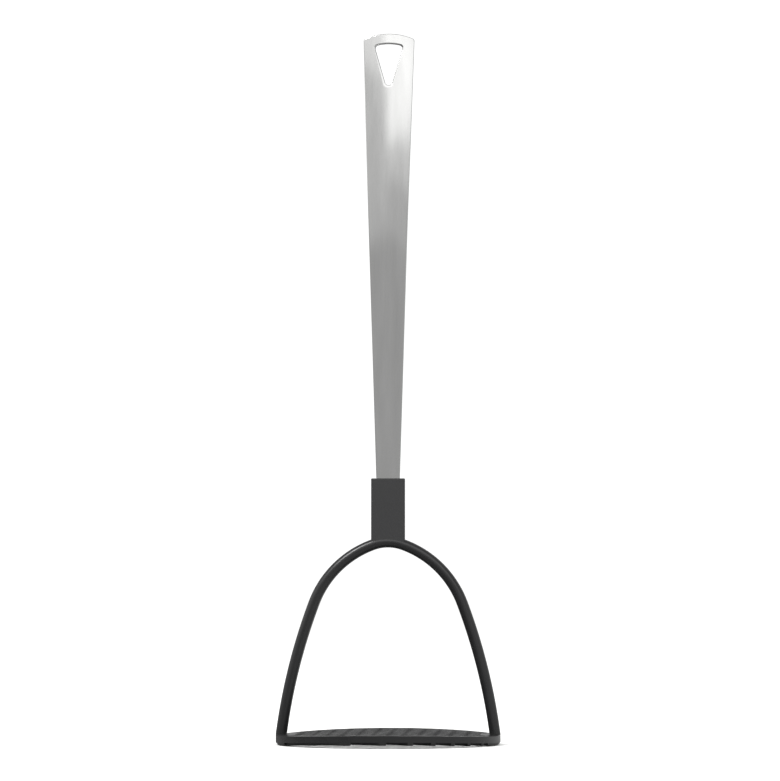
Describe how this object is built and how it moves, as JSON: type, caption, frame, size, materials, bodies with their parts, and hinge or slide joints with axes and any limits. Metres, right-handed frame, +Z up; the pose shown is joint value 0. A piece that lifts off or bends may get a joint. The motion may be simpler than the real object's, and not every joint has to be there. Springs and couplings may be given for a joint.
{
  "type": "potato masher",
  "caption": "Potato masher: a flat steel handle with a hanging hole, held in a black socket on an arched yoke that carries a round mashing plate with a lattice of openings.",
  "frame": {"origin": "middle of the mashing plate at the level of the surface that it stands on", "axes": "+Z up along the handle, +X across the arch from one leg to the other, +Y to the back, the side that the handle's end bows towards"},
  "size_m": [0.0946, 0.0946, 0.3],
  "materials": {
    "steel_blade": "satin stainless steel sheet, polished along its length",
    "black_nylon": "moulded black nylon, low sheen"
  },
  "bodies": {
    "root": {"handle_blade": "steel_blade", "socket": "black_nylon", "yoke": "black_nylon", "mashing_plate": "black_nylon"}
  },
  "joints": []
}
